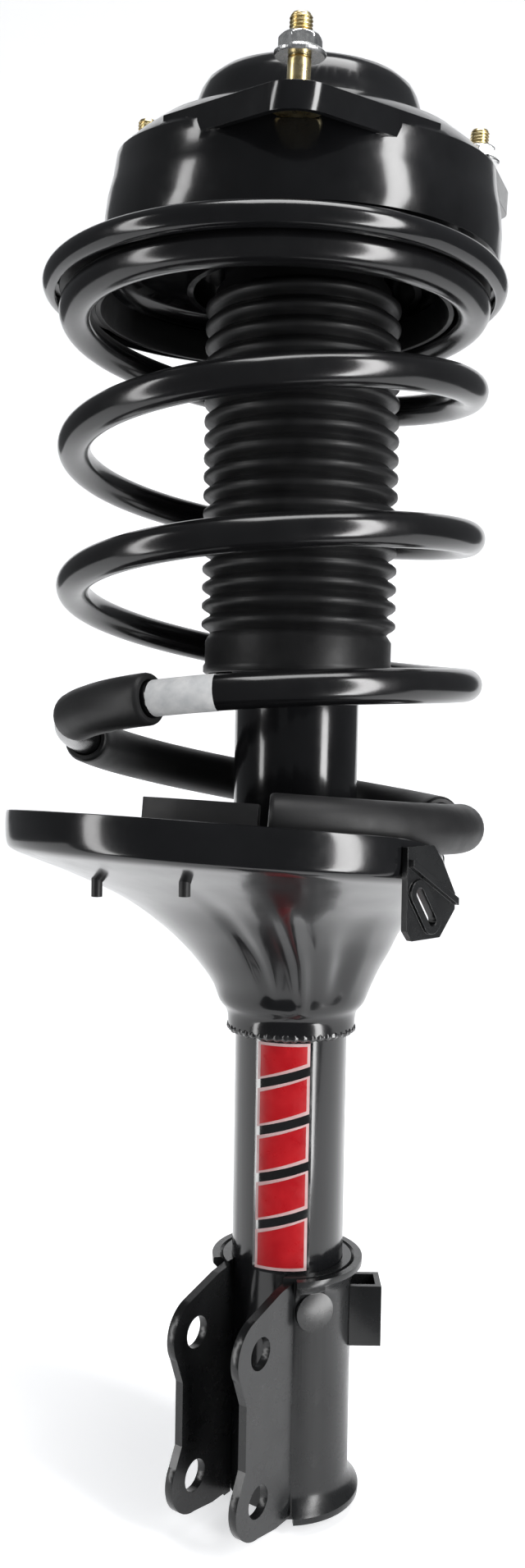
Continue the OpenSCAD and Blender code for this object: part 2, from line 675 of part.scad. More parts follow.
// Lip that turns outwards at an open end of the wrap; up is 1 at the bottom, -1 at the top
module flared_rim(z, up) {
    translate([0, 0, z]) rotate([0, 0, -48]) rotate_extrude(angle = 276, $fn = 96)
        polygon([[tube_r + 0.1, up * 9], [wrap_r, up * 10], [wrap_r + 0.9, up * 6.6],
            [wrap_r + 3.4, up * 3.4], [wrap_r + 4.4, up * 2.4], [wrap_r + 4.4, 0],
            [wrap_r + 1.6, 0], [wrap_r - 1.4, up * 3]]);
}

module tube_label() {
    color([0.8, 0.1, 0.1]) rotate([0, 0, -93]) rotate_extrude(angle = 60, $fn = 96)
        translate([tube_r + 0.02, -438]) square([0.25, 93.4]);
}

mount_shell();
dome_cap();
mount_rubber();
mount_sleeve();
mount_washer_upper();
mount_washer_lower();
rod_nut();
mount_studs();
stud_nuts();
bearing_plate();
bearing_race_upper();
bearing_balls();
bearing_cage();
bearing_race_lower();
bearing_seal();
upper_seat();
upper_isolator();
dust_boot();
bump_cup();
bump_stop();
piston_rod();
piston();
piston_ring();
piston_nut();
rebound_stop();
strut_tube();
tube_base();
tube_cap();
rod_guide();
rod_seal();
inner_cylinder();
base_valve();
coil_spring();
spring_sleeves();
lower_seat();
lower_isolator();
hose_bracket();
line_bracket();
knuckle_bracket();
tube_label();
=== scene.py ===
"""Looks of the strut assembly: detailed pieces, procedural materials, light and camera."""

import math

import bpy
from mathutils import Matrix, Vector


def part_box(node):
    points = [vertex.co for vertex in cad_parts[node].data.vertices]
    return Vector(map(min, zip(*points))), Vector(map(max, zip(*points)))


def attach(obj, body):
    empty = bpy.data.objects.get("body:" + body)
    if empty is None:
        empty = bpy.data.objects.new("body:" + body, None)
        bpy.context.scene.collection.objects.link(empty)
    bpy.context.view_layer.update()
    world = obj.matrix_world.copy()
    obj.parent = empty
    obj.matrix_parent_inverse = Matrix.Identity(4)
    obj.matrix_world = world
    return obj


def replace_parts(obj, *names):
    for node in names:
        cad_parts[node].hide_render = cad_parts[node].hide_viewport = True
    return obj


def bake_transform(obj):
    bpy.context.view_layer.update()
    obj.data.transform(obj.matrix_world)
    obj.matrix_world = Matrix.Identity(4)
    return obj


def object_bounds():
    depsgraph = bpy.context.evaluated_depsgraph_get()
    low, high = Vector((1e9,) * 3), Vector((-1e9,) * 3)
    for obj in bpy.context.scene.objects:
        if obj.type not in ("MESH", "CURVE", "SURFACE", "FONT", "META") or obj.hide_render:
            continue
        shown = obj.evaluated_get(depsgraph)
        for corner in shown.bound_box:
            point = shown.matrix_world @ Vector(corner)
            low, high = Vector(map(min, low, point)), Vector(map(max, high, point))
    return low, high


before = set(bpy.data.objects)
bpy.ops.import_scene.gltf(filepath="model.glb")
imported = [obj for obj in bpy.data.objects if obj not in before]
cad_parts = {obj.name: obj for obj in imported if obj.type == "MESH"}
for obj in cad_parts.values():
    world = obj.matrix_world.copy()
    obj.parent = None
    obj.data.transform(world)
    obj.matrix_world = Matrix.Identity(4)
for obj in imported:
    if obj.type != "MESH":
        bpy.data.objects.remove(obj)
CAD_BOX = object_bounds()

MM = 0.001
UP = Vector((0, 0, 1))
STUD_ANGLES = (-58, 62, 182)
STUD_CIRCLE = 81 * MM
STUD_HEIGHTS = (-6 * MM, 24.5 * MM)
NUT_HEIGHTS = (11 * MM, 18 * MM)
# the tower face leans against the damper axis, and is lowest in this direction
MOUNT_TILT = math.radians(8)
LOW_DIRECTION = math.radians(-42)
LEANING = (Matrix.Rotation(LOW_DIRECTION, 4, "Z") @ Matrix.Rotation(MOUNT_TILT, 4, "Y")
           @ Matrix.Rotation(-LOW_DIRECTION, 4, "Z"))


# ---------- places, read from the frame ----------

def span(node, axis):
    """Lowest and highest value of a CAD node along an axis."""
    low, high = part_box(node)
    return low[axis], high[axis]


def half(node, axis):
    low, high = span(node, axis)
    return (high - low) / 2


def middle(node, axis):
    low, high = span(node, axis)
    return (high + low) / 2


WIRE_R = 6.25 * MM
SLEEVE_R = 9.2 * MM
COIL_R = half("coil_spring", 0) - WIRE_R
SPRING_Y = middle("upper_seat", 1)
COIL_TOP = span("coil_spring", 2)[1] - WIRE_R
COIL_TURNS = 4.45
# the coil is divided into this many steps, which the sleeves' ends are counted in
COIL_STEPS = 132
TIP = math.radians(-54)
FOOT_TURN = 0.17
HEAD_TURN = 3.78
EASE = 0.17

SEAT_Y = -38 * MM
SEAT_Z = -269 * MM
SEAT_TILT = math.radians(5.9)

TUBE_R = 22.5 * MM
BOOT_RIBS = 18
# a gap that keeps a piece wrapped round the wire or the tube off its surface
WRAP_GAP = 0.12 * MM
WIRE_SIDES = 28


# ---------- mesh helpers ----------

def add_object(name, points, faces, sharp=35):
    """A mesh object with smooth shading, and sharp edges above an angle in degrees."""
    mesh = bpy.data.meshes.new(name)
    mesh.from_pydata([tuple(p) for p in points], [], faces)
    mesh.update()
    mesh.shade_smooth()
    mesh.set_sharp_from_angle(angle=math.radians(sharp))
    obj = bpy.data.objects.new(name, mesh)
    bpy.context.scene.collection.objects.link(obj)
    return obj


def grid_faces(rows, sides, closed_rows=False):
    """Quads between rows of points, each row closed on itself."""
    faces = []
    last = rows if closed_rows else rows - 1
    for i in range(last):
        a = i * sides
        b = (i + 1) % rows * sides
        for k in range(sides):
            n = (k + 1) % sides
            faces.append((a + k, a + n, b + n, b + k))
    return faces


def rounded(outline, radius, steps=4, closed=True):
    """The outline with each corner replaced by a short curve."""
    result = []
    count = len(outline)
    for i, corner in enumerate(outline):
        if not closed and i in (0, count - 1):
            result.append(tuple(corner))
            continue
        here = Vector(corner)
        before = Vector(outline[i - 1]) - here
        after = Vector(outline[(i + 1) % count]) - here
        cut = min(radius, before.length * 0.45, after.length * 0.45)
        start = here + before.normalized() * cut
        end = here + after.normalized() * cut
        for k in range(steps + 1):
            t = k / steps
            point = start * (1 - t) ** 2 + here * 2 * t * (1 - t) + end * t * t
            result.append(tuple(point))
    return result


def lathe(name, outline, steps=96, centre=(0, 0), closed=True, sharp=50):
    """A closed outline of (radius, height) turned round a vertical line."""
    points = []
    for radius, height in outline:
        for k in range(steps):
            a = math.tau * k / steps
            points.append((centre[0] + radius * math.cos(a), centre[1] + radius * math.sin(a), height))
    return add_object(name, points, grid_faces(len(outline), steps, closed), sharp)


def move_to(obj, *transforms):
    """Applies the transforms to the mesh, so that the object stays at the origin."""
    for transform in transforms:
        obj.data.transform(transform)
    obj.data.update()
    return obj


def join(name, objects):
    """One object from several, in the order given."""
    with bpy.context.temp_override(active_object=objects[0], selected_editable_objects=objects):
        bpy.ops.object.join()
    objects[0].name = name
    objects[0].data.name = name
    return objects[0]


def soften(obj, width, angle=32, segments=3):
    """Small rounds on the edges of a CAD node, made by modifiers."""
    weld = obj.modifiers.new("weld", "WELD")
    weld.merge_threshold = 0.00001
    merge = obj.modifiers.new("merge_flat_faces", "DECIMATE")
    merge.decimate_type = "DISSOLVE"
    merge.angle_limit = math.radians(0.4)
    bevel = obj.modifiers.new("bevel", "BEVEL")
    bevel.width = width
    bevel.segments = segments
    bevel.limit_method = "ANGLE"
    bevel.angle_limit = math.radians(angle)
    bevel.harden_normals = True
    return obj


# ---------- materials ----------

def material(name, colour, roughness, metallic=0.0, second=None, spread=0.35, tone_scale=30,
             grain_scale=900, grain_depth=0.00002, rough_spread=0.08, coat=0.0, coat_rough=0.08,
             specular=0.5, stretch=(1, 1, 1)):
    """Procedural surface: two tones, varying roughness and a fine bump."""
    mat = bpy.data.materials.new(name)
    mat.use_nodes = True
    nodes, links = mat.node_tree.nodes, mat.node_tree.links
    shader = nodes["Principled BSDF"]
    shader.inputs["Metallic"].default_value = metallic
    shader.inputs["Specular IOR Level"].default_value = specular
    shader.inputs["Coat Weight"].default_value = coat
    shader.inputs["Coat Roughness"].default_value = coat_rough

    where = nodes.new("ShaderNodeTexCoord")
    mapping = nodes.new("ShaderNodeMapping")
    mapping.inputs["Scale"].default_value = stretch
    links.new(where.outputs["Object"], mapping.inputs["Vector"])

    def noise(scale, detail, rough=0.55):
        node = nodes.new("ShaderNodeTexNoise")
        node.inputs["Scale"].default_value = scale
        node.inputs["Detail"].default_value = detail
        node.inputs["Roughness"].default_value = rough
        links.new(mapping.outputs["Vector"], node.inputs["Vector"])
        return node.outputs["Fac"]

    ramp = nodes.new("ShaderNodeValToRGB")
    ramp.color_ramp.elements[0].position = 0.5 - spread / 2
    ramp.color_ramp.elements[1].position = 0.5 + spread / 2
    ramp.color_ramp.elements[0].color = (*colour, 1)
    ramp.color_ramp.elements[1].color = (*(second or [min(1, c * 1.6 + 0.004) for c in colour]), 1)
    links.new(noise(tone_scale, 5), ramp.inputs["Fac"])
    links.new(ramp.outputs["Color"], shader.inputs["Base Color"])

    rough = nodes.new("ShaderNodeMapRange")
    rough.inputs["From Min"].default_value = 0.3
    rough.inputs["From Max"].default_value = 0.7
    rough.inputs["To Min"].default_value = max(0.03, roughness - rough_spread)
    rough.inputs["To Max"].default_value = min(1, roughness + rough_spread)
    links.new(noise(tone_scale * 2.3, 6, 0.65), rough.inputs["Value"])
    links.new(rough.outputs["Result"], shader.inputs["Roughness"])

    bump = nodes.new("ShaderNodeBump")
    bump.inputs["Strength"].default_value = 1.0
    bump.inputs["Distance"].default_value = grain_depth
    links.new(noise(grain_scale, 3), bump.inputs["Height"])
    links.new(bump.outputs["Normal"], shader.inputs["Normal"])
    return mat


def paint(obj, mat):
    obj.data.materials.clear()
    obj.data.materials.append(mat)
    return obj


GLOSS = material("gloss_enamel", (0.0035, 0.0036, 0.004), 0.17, second=(0.007, 0.0072, 0.008),
                 grain_scale=420, grain_depth=0.000012, rough_spread=0.05, coat=0.34, coat_rough=0.1,
                 specular=0.33)
SATIN = material("satin_enamel", (0.006, 0.0062, 0.0066), 0.27, second=(0.012, 0.0125, 0.013),
                 grain_scale=520, grain_depth=0.00002, rough_spread=0.07, coat=0.2, coat_rough=0.22,
                 specular=0.3)
WIRE = material("spring_coat", (0.003, 0.003, 0.0034), 0.2, second=(0.0065, 0.0065, 0.007),
                grain_scale=380, grain_depth=0.00002, rough_spread=0.05, coat=0.35, coat_rough=0.14,
                specular=0.36)
SLEEVE = material("sleeve_rubber", (0.0075, 0.0075, 0.008), 0.47, second=(0.014, 0.014, 0.0145),
                  grain_scale=1400, grain_depth=0.00003, specular=0.3)
BOOT = material("boot_rubber", (0.006, 0.006, 0.0064), 0.42, second=(0.012, 0.012, 0.0125),
                tone_scale=60, grain_scale=1100, grain_depth=0.00003, specular=0.3)
RUBBER = material("mount_rubber", (0.01, 0.01, 0.01), 0.6, second=(0.02, 0.02, 0.02),
                  grain_scale=900, grain_depth=0.00005, specular=0.3)
PLASTIC = material("moulded_plastic", (0.011, 0.011, 0.012), 0.36, second=(0.019, 0.019, 0.02),
                   grain_scale=1600, grain_depth=0.00002)
YELLOW_ZINC = material("yellow_zinc", (0.62, 0.47, 0.2), 0.3, metallic=1.0,
                       second=(0.74, 0.66, 0.42), tone_scale=140, grain_depth=0.00001)
BRIGHT_ZINC = material("bright_zinc", (0.66, 0.67, 0.68), 0.27, metallic=1.0,
                       second=(0.8, 0.8, 0.79), tone_scale=120, grain_depth=0.00001)
CHROME = material("hard_chrome", (0.8, 0.81, 0.83), 0.1, metallic=1.0, second=(0.88, 0.88, 0.89),
                  tone_scale=60, grain_scale=700, grain_depth=0.000004, rough_spread=0.04,
                  stretch=(1, 1, 12))
BALL_STEEL = material("ball_steel", (0.6, 0.61, 0.63), 0.14, metallic=1.0,
                      second=(0.7, 0.7, 0.71), rough_spread=0.05, grain_depth=0.000005)
SINTER = material("sintered_iron", (0.2, 0.19, 0.18), 0.48, metallic=1.0,
                  second=(0.34, 0.33, 0.31), tone_scale=260, grain_scale=2400,
                  grain_depth=0.00004)
DRAWN = material("drawn_steel", (0.38, 0.38, 0.39), 0.3, metallic=1.0, second=(0.52, 0.52, 0.52),
                 stretch=(1, 1, 0.08), grain_scale=1500, grain_depth=0.00001)
NYLON = material("cage_nylon", (0.62, 0.56, 0.4), 0.42, second=(0.74, 0.69, 0.54))
FOAM = material("bump_foam", (0.52, 0.42, 0.2), 0.75, second=(0.66, 0.56, 0.32), tone_scale=400,
                grain_scale=1300, grain_depth=0.00016, specular=0.25)
POLYMER = material("ring_polymer", (0.05, 0.048, 0.045), 0.45, second=(0.09, 0.085, 0.08))
LABEL_RED = material("label_red", (0.3, 0.004, 0.008), 0.32, second=(0.38, 0.01, 0.014),
                     tone_scale=90, specular=0.3)
LABEL_PALE = material("label_pale", (0.42, 0.25, 0.25), 0.34, second=(0.5, 0.36, 0.36),
                      tone_scale=110, specular=0.3)
LABEL_FILM = material("label_film", (0.004, 0.004, 0.0045), 0.12, second=(0.008, 0.008, 0.009),
                      tone_scale=50, grain_scale=160, grain_depth=0.00001, coat=0.6)
# painted highlight: a pale colour standing for a bright reflection on the wire next to the last sleeve
PAINTED_HIGHLIGHT = material("painted_highlight_band", (0.42, 0.43, 0.44), 0.55, second=(0.6, 0.6, 0.6), tone_scale=160,
                 grain_depth=0.00003)
WELD = material("weld_bead", (0.006, 0.006, 0.0065), 0.26, second=(0.013, 0.013, 0.014),
                tone_scale=160, grain_scale=700, grain_depth=0.00006, coat=0.3)

NODE_LOOKS = {
    "mount_shell": (GLOSS, 0.6), "dome_cap": (GLOSS, 0.5), "mount_rubber": (RUBBER, 0.4),
    "mount_sleeve": (BRIGHT_ZINC, 0.2), "mount_washer_upper": (BRIGHT_ZINC, 0.3),
    "mount_washer_lower": (BRIGHT_ZINC, 0.3), "rod_nut": (YELLOW_ZINC, 0.4),
    "bearing_plate": (GLOSS, 0.4), "bearing_race_upper": (BALL_STEEL, 0.2),
    "bearing_balls": (BALL_STEEL, 0), "bearing_cage": (NYLON, 0.2),
    "bearing_race_lower": (BALL_STEEL, 0.2), "bearing_seal": (RUBBER, 0.2),
    "upper_seat": (GLOSS, 0.5), "upper_isolator": (SLEEVE, 0.3), "bump_cup": (PLASTIC, 0.3),
    "bump_stop": (FOAM, 0.8), "piston_rod": (CHROME, 0.3), "piston": (SINTER, 0.3),
    "piston_ring": (POLYMER, 0.2), "piston_nut": (DRAWN, 0.4), "rebound_stop": (POLYMER, 0.3),
    "strut_tube": (GLOSS, 0.3), "tube_base": (GLOSS, 0.4), "tube_cap": (PLASTIC, 0.5),
    "rod_guide": (SINTER, 0.3), "rod_seal": (RUBBER, 0.3), "inner_cylinder": (DRAWN, 0.2),
    "base_valve": (SINTER, 0.3), "lower_isolator": (SLEEVE, 0.5), "hose_bracket": (SATIN, 0.35),
    "line_bracket": (SATIN, 0.5), "knuckle_bracket": (SATIN, 0.6),
}


def paint_nodes():
    """Materials and small edge rounds for the CAD nodes that stay in view."""
    for node, (mat, edge) in NODE_LOOKS.items():
        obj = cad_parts[node]
        paint(obj, mat)
        if edge:
            soften(obj, edge * MM)


# ---------- spring and its sleeves ----------

def eased(x):
    if x < -EASE:
        return 0.0
    return x if x > EASE else (x + EASE) ** 2 / (4 * EASE)


def climb(turn):
    """0 where the wire lies on the lower seat and 1 where it lies under the upper seat."""
    return (eased(turn - FOOT_TURN) - eased(turn - HEAD_TURN)) / (HEAD_TURN - FOOT_TURN)


def coil_point(turn):
    a = TIP + math.tau * turn
    x = COIL_R * math.cos(a)
    y = COIL_R * math.sin(a) + SPRING_Y
    low = SEAT_Z - (y - SEAT_Y) * math.tan(SEAT_TILT) + SLEEVE_R + 0.1 * MM
    return Vector((x, y, low + climb(turn) * (COIL_TOP - low)))


def coil_ring(turn, radius, sides):
    """Points round the wire at one turn value."""
    a = TIP + math.tau * turn
    centre = coil_point(turn)
    along = (coil_point(turn + 0.002) - coil_point(turn - 0.002)).normalized()
    side = along.cross(Vector((math.cos(a), math.sin(a), 0))).normalized()
    out = side.cross(along)
    ring = []
    for k in range(sides):
        b = math.tau * k / sides
        ring.append(centre + radius * (math.cos(b) * out + math.sin(b) * side))
    return ring


def coil_sweep(name, stations, sides, mat):
    """A skin through rings round the wire. stations are (turn, radius)."""
    points, shares = [], []
    for turn, radius in stations:
        points += coil_ring(turn, radius, sides)
        shares += [1 - climb(turn)] * sides
    obj = paint(add_object(name, points, grid_faces(len(stations), sides), 40), mat)
    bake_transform(obj)
    # each ring's share of the travel is listed in shares, which nothing here uses
    return obj


def make_spring():
    """The wire, with a rounded edge at each cut end. A ring of almost no radius closes an end."""
    rings = 560
    closing_r = 0.0001 * MM
    face_r = WIRE_R - 1.4 * MM
    edge_r = WIRE_R - 0.5 * MM
    nib = 1.2 * MM / (math.tau * COIL_R)
    stations = [(0, closing_r), (0, face_r), (nib * 0.3, edge_r)]
    stations += [(nib + (COIL_TURNS - 2 * nib) * i / rings, WIRE_R) for i in range(rings + 1)]
    stations += [(COIL_TURNS - nib * 0.3, edge_r), (COIL_TURNS, face_r), (COIL_TURNS, closing_r)]
    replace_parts(coil_sweep("coil_wire", stations, WIRE_SIDES, WIRE), "coil_spring")


def make_sleeves():
    """Three rubber sleeves on the lowest turn, each with softly rounded ends."""
    spans = ((0, 6), (9, 21), (24, 27))
    step = COIL_TURNS / COIL_STEPS
    inner = WIRE_R + WRAP_GAP
    lip = 1.6 * MM / (math.tau * COIL_R)
    for i, (first, last) in enumerate(spans):
        start, end = first * step, last * step
        stations = [(start + lip * 0.6, inner), (start, inner + 0.5 * MM),
                    (start, SLEEVE_R - 0.9 * MM), (start + lip * 0.4, SLEEVE_R - 0.25 * MM)]
        count = (last - first) * 5
        stations += [(start + lip + (end - start - 2 * lip) * k / count, SLEEVE_R)
                     for k in range(count + 1)]
        stations += [(end - lip * 0.4, SLEEVE_R - 0.25 * MM), (end, SLEEVE_R - 0.9 * MM),
                     (end, inner + 0.5 * MM), (end - lip * 0.6, inner)]
        sleeve = coil_sweep(f"spring_sleeve_{i + 1}", stations, WIRE_SIDES, SLEEVE)
        if i == 0:
            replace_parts(sleeve, "spring_sleeves")


def make_painted_highlight():
    """A painted highlight: a pale band, with no marks on it, round the wire next to the last sleeve,
    standing for a bright reflection on the wire.
    """
    start, end = 0.914, 0.962
    steps = 14
    skin = WIRE_R + WRAP_GAP
    foot = WIRE_R + 0.01 * MM
    stations = [(start, foot), (start, skin)]
    stations += [(start + (end - start) * k / steps, skin) for k in range(1, steps)]
    stations += [(end, skin), (end, foot)]
    coil_sweep("painted_highlight_on_wire", stations, WIRE_SIDES, PAINTED_HIGHLIGHT)


# ---------- dust boot ----------

def make_boot():
    """Ribbed boot: a collar on top, round ribs, and a plain cuff with a thicker end."""
    low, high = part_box("dust_boot")
    outer = high[0]
    top, bottom = high[2], low[2]
    ribbed_length = 131 * MM
    rib_top = top - 14.2 * MM
    rib_low = rib_top - ribbed_length
    pitch = ribbed_length / BOOT_RIBS
    depth = 3.6 * MM
    wall = 1.5 * MM
    collar = outer - 7.4 * MM
    outline = [(collar, top), (collar, top - 6.2 * MM), (outer - depth - 0.4 * MM, rib_top + 3 * MM)]
    steps = 8
    for i in range(BOOT_RIBS * steps + 1):
        groove = (0.5 + 0.5 * math.cos(math.tau * i / steps)) ** 1.6
        outline.append((outer - depth * groove, rib_top - i * pitch / steps))
    cuff = outer - 1.6 * MM
    hem = cuff + 0.7 * MM
    outline += [(cuff, rib_low - 3 * MM), (cuff, rib_low - 12 * MM), (hem, rib_low - 13 * MM),
                (hem, bottom + 0.6 * MM), (cuff, bottom)]
    inside = [(r - wall, z) for r, z in outline[-1:0:-1]]
    inside.append((collar - 2.4 * MM, top))
    boot = lathe("boot_bellows", outline + inside, 128, sharp=60)
    paint(boot, BOOT)
    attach(boot, "spring_seat")
    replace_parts(boot, "dust_boot")


# ---------- lower spring seat ----------

STATIONS = (
    # radius, offset to the wheel, tilt, height over the rim plane, sheet inwards, sheet upwards,
    # share of the side cut, share of the rim drop
    (87, 38, 5.9, 6.5, 2.6, 0, 1, 1),
    (87.4, 38, 5.9, 3, 2.8, 0, 1, 0.6),
    (87, 38, 5.9, -5, 2.8, 2.6, 1, 0),
    (84.6, 38, 5.9, -8, 1.6, 2.8, 1, 0),
    (79, 35, 5.9, -11, 1.2, 2.8, 0.85, 0),
    (68, 26, 5.5, -17.4, 1.7, 2.4, 0.45, 0),
    (56.5, 16.5, 4, -25, 2, 2, 0.1, 0),
    (47, 9, 2, -34.5, 2.4, 1.4, 0, 0),
    (41, 4, 1, -43, 2.6, 1.2, 0, 0),
    (36, 1.5, 0, -50.5, 2.7, 0.8, 0, 0),
    (32, 0, 0, -58, 2.8, 0.6, 0, 0),
    (29.4, 0, 0, -64.6, 2.8, 0.4, 0, 0),
    (26.2, 0, 0, -69, 2.85, 0.2, 0, 0),
    (25.6, 0, 0, -75, 2.85, 0, 0, 0),
)
# pressed ribs: direction, half width in degrees, height in mm, first and last station
RIBS = ((-49, 7, 2.6, 5, 11), (-72, 7, -1.8, 5, 10), (-22, 13, -3.2, 6, 10))
# the rim is drawn in and lowered at both sides of the back, where the wire passes over it
SIDE_DIRECTIONS = (27, 153)
SIDE_CUT = 11
SIDE_CUT_WIDTH = 36
RIM_DROP = 9
RIM_DROP_WIDTH = 45


def station(s):
    """Values at a fractional station, on a smooth curve through the listed ones."""
    i = min(int(s), len(STATIONS) - 2)
    t = s - i
    rows = [STATIONS[max(0, min(len(STATIONS) - 1, i + d))] for d in (-1, 0, 1, 2)]
    values = []
    for a, b, c, d in zip(*rows):
        values.append(b + t * ((c - a) / 2 + t * ((2 * a - 5 * b + 4 * c - d) / 2
                                                  + t * (3 * b - a + d - 3 * c) / 2)))
    return values


def bump(angle, centre, width):
    """1 at the centre, falling smoothly to 0 at that many degrees on either side."""
    away = abs(angle - centre)
    return 0 if away > width else (1 + math.cos(math.pi * away / width)) / 2


def seat_point(s, angle, lining):
    """A point of the seat at a station and a direction, on its outside or on its lining."""
    radius, offset, tilt, height, inwards, upwards, cut, drop = station(s)
    near = angle - 360 if angle > 180 else angle
    back = angle - 360 if angle > 270 else angle
    for centre, width, size, first, last in RIBS:
        if first - 0.6 < s < last + 0.6:
            radius += size * bump(near, centre, width) * math.sin(
                math.pi * (s - first + 0.6) / (last - first + 1.2))
    radius -= SIDE_CUT * cut * sum(bump(back, side, SIDE_CUT_WIDTH) for side in SIDE_DIRECTIONS)
    height -= RIM_DROP * drop * sum(bump(back, side, RIM_DROP_WIDTH) for side in SIDE_DIRECTIONS)
    if lining:
        radius -= inwards
        height += upwards
    a = math.radians(angle)
    t = math.radians(tilt)
    y = radius * math.sin(a)
    return Vector((radius * math.cos(a), y * math.cos(t) - offset,
                   SEAT_Z / MM + height - y * math.sin(t))) * MM


def make_lower_seat():
    """The dish and its funnel, as an outside and a lining joined by a rounded rim."""
    sides = 180
    values = [0.0, 0.12, 0.3, 0.6] + [1 + i * 0.25 for i in range(49)]
    crest_drop = 0.35 * MM
    crest_height = 0.45 * MM

    def skin(lining):
        return [[seat_point(s, k * 360 / sides, lining) for k in range(sides)] for s in values]

    outside, inside = skin(False), skin(True)
    crest = []
    for f in (0.25, 0.5, 0.75):
        lift = math.sin(math.pi * f) * crest_height - crest_drop
        crest.append([outside[0][k].lerp(inside[0][k], f) + UP * lift for k in range(sides)])
    for row in (outside[0], inside[0]):
        for k in range(sides):
            row[k] = row[k] - UP * crest_drop * 2
    loop = outside[::-1] + crest + inside
    points = [p for row in loop for p in row]
    seat = add_object("lower_seat_dish", points, grid_faces(len(loop), sides, True), 60)
    paint(seat, GLOSS)
    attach(seat, "strut_body")
    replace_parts(seat, "lower_seat")


def weld_ring(name, radius, height, size, body):
    """A rippled weld bead round the tube."""
    steps, sides = 240, 10
    points = []
    for i in range(steps):
        a = math.tau * i / steps
        ripple = 1 + 0.16 * math.sin(46 * a) + 0.07 * math.sin(17 * a)
        for k in range(sides):
            b = math.tau * k / sides
            r = radius + size * ripple * math.cos(b)
            points.append((r * math.cos(a), r * math.sin(a), height + size * ripple * math.sin(b)))
    bead = add_object(name, points, grid_faces(steps, sides, True), 80)
    paint(bead, WELD)
    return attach(bead, body)


# ---------- studs and nuts ----------

def threaded_rod(name, core, crest, pitch, low, high, sides=40):
    """A screw thread of that pitch between two heights, with a bevelled tip."""
    rows = int((high - low) / (pitch / 8))
    points = []
    for i in range(rows + 1):
        z = low + (high - low) * i / rows
        taper = min(1, max(0, (high - z) / (1.1 * pitch)))
        for k in range(sides):
            phase = (z / pitch - k / sides) % 1
            wave = 1 - abs(2 * phase - 1)
            r = core + (crest - core) * min(1, max(0, 1.35 * wave - 0.1))
            r = min(r, crest - (1 - taper) * 0.9 * MM)
            a = math.tau * k / sides
            points.append((r * math.cos(a), r * math.sin(a), z))
    faces = grid_faces(rows + 1, sides)
    top = len(points)
    points.append((0, 0, high))
    faces += [(rows * sides + k, rows * sides + (k + 1) % sides, top) for k in range(sides)]
    base = len(points)
    points.append((0, 0, low))
    faces += [((k + 1) % sides, k, base) for k in range(sides)]
    return add_object(name, points, faces, 60)


def hex_nut(name, across, low, high, bore, sides=96):
    """A hexagon whose corners are turned down by a cone at the top."""
    flat = across / 2
    corner = flat / math.cos(math.pi / 6)
    heights = [low + (high - low) * f for f in (0, 0.25, 0.5, 0.7, 0.8, 0.86, 0.92, 0.96, 1)]
    points = []
    for z in heights:
        cone = corner - max(0, z - (high - 1.3 * MM)) * 1.15
        for k in range(sides):
            a = math.tau * k / sides
            local = (a + math.pi / 6) % (math.pi / 3) - math.pi / 6
            r = min(flat / math.cos(local), cone)
            points.append((r * math.cos(a), r * math.sin(a), z))
    rows = len(heights)
    for r, z in ((bore + 0.9 * MM, high), (bore, high - 0.8 * MM), (bore, low)):
        for k in range(sides):
            a = math.tau * k / sides
            points.append((r * math.cos(a), r * math.sin(a), z))
        rows += 1
    return add_object(name, points, grid_faces(rows, sides, True), 32)


def flange(name, radius, low, high, bore, teeth=24):
    """The broad foot of a flange nut, with a lightly knurled edge."""
    sides = teeth * 6
    outline = ((bore, low), (radius - 0.6 * MM, low), (radius, low + 0.5 * MM), (radius, low + 1.2 * MM),
               (radius - 0.5 * MM, low + 1.6 * MM), (radius - 1.7 * MM, high), (bore, high))
    points = []
    for r, z in outline:
        for k in range(sides):
            a = math.tau * k / sides
            knurl = 0.12 * MM * math.cos(teeth * a) if r > radius - 0.1 * MM else 0
            points.append(((r - abs(knurl)) * math.cos(a), (r - abs(knurl)) * math.sin(a), z))
    return add_object(name, points, grid_faces(len(outline), sides, True), 32)


def make_studs():
    """Three studs, each with a round head, a pressed zone, a shank and a thread, and their nuts."""
    stud_low, stud_high = STUD_HEIGHTS
    nut_low, nut_high = NUT_HEIGHTS
    head_r, pressed_r, shank_r, bore_r = 9.8 * MM, 4.5 * MM, 4 * MM, 4.02 * MM
    head_top = stud_low + 2.9 * MM
    shank_top = nut_low - 0.1 * MM
    studs, nuts = [], []
    for i, angle in enumerate(STUD_ANGLES):
        place = (LEANING @ Matrix.Rotation(math.radians(angle), 4, "Z")
                 @ Matrix.Translation((STUD_CIRCLE, 0, 0)))
        outline = [(0, stud_low), (head_r - 1.1 * MM, stud_low), (head_r, stud_low + 0.9 * MM),
                   (head_r, head_top - 0.6 * MM), (head_r - 0.5 * MM, head_top),
                   (pressed_r, head_top), (pressed_r, -0.1 * MM), (shank_r, 0),
                   (shank_r, shank_top - 0.7 * MM), (shank_r - 0.6 * MM, shank_top), (0, shank_top)]
        shank = lathe(f"stud_shank_{i}", rounded(outline, 0.4 * MM, closed=False), 64, closed=False)
        thread = threaded_rod(f"stud_thread_{i}", 3.35 * MM, 3.98 * MM, 1.25 * MM,
                              nut_low - 0.4 * MM, stud_high)
        stud = join(f"mount_stud_{i + 1}", [shank, thread])
        move_to(stud, place)
        paint(stud, YELLOW_ZINC)
        studs.append(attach(stud, "top_mount"))
        foot = flange(f"nut_foot_{i}", 9 * MM, nut_low, nut_low + 2.6 * MM, bore_r)
        hexagon = hex_nut(f"nut_hex_{i}", 13 * MM, nut_low + 2 * MM, nut_high, bore_r)
        nut = join(f"flange_nut_{i + 1}", [foot, hexagon])
        move_to(nut, Matrix.Rotation(math.radians(11 + 17 * i), 4, "Z"), place)
        paint(nut, BRIGHT_ZINC)
        nuts.append(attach(nut, "top_mount"))
    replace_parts(studs[0], "mount_studs")
    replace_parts(nuts[0], "stud_nuts")


# ---------- label ----------

